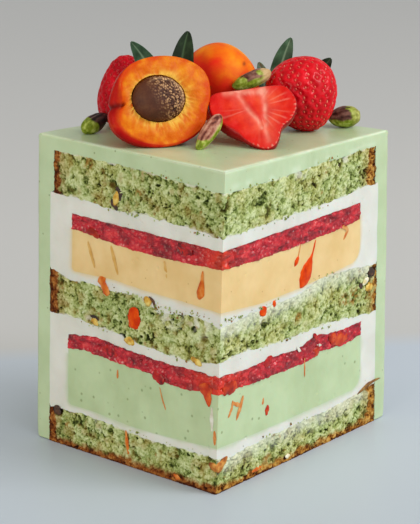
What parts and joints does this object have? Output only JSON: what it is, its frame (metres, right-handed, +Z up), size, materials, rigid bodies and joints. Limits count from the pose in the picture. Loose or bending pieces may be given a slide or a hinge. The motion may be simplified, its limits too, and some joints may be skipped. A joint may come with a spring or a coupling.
{
  "type": "slice of layer cake",
  "caption": "Tall wedge of green layer cake with sponge, cream, berry and mousse layers in a pale green coat, topped with apricots, strawberries, pistachios and leaves.",
  "frame": {"origin": "on the base, on the line from the tip of the wedge to the middle of the round wall, about half way along it", "axes": "+Z up; the tip of the wedge points to -Y and the round outer wall faces +Y; the left cut face as seen from the tip is on the -X side"},
  "size_m": [0.1445, 0.1011, 0.1653],
  "materials": {
    "coat": "satin pale green icing",
    "sponge": "dry open green crumb with a brown crust",
    "cream": "smooth soft white cream",
    "berry": "wet granular red berry jelly",
    "mousse_yellow": "smooth set pale orange mousse",
    "mousse_green": "smooth set pale green mousse",
    "apricot_flesh": "moist cut orange flesh with red skin behind",
    "fruit_stone": "rough brown fruit stone",
    "apricot_skin": "fine downy orange skin with a red blush",
    "strawberry_skin": "shiny red skin with seeds",
    "strawberry_flesh": "moist cut red flesh with pale veins",
    "nut": "peeled kernel, green with brown and purple skin",
    "leaf": "waxy dark green leaf"
  },
  "bodies": {
    "root": {"coat": "coat", "sponge_top": "sponge", "sponge_middle": "sponge", "sponge_bottom": "sponge", "cream_upper": "cream", "cream_lower": "cream", "berry_upper": "berry", "berry_lower": "berry", "mousse_apricot": "mousse_yellow", "mousse_pistachio": "mousse_green", "apricot_half": "apricot_flesh", "apricot_stone": "fruit_stone", "apricot_whole": "apricot_skin", "strawberry_left": "strawberry_skin", "strawberry_right": "strawberry_skin", "strawberry_half": "strawberry_flesh", "pistachio_left": "nut", "pistachio_front": "nut", "pistachio_middle": "nut", "pistachio_right": "nut", "leaf_1": "leaf", "leaf_2": "leaf", "leaf_3": "leaf", "leaf_4": "leaf", "leaf_5": "leaf"}
  },
  "joints": []
}
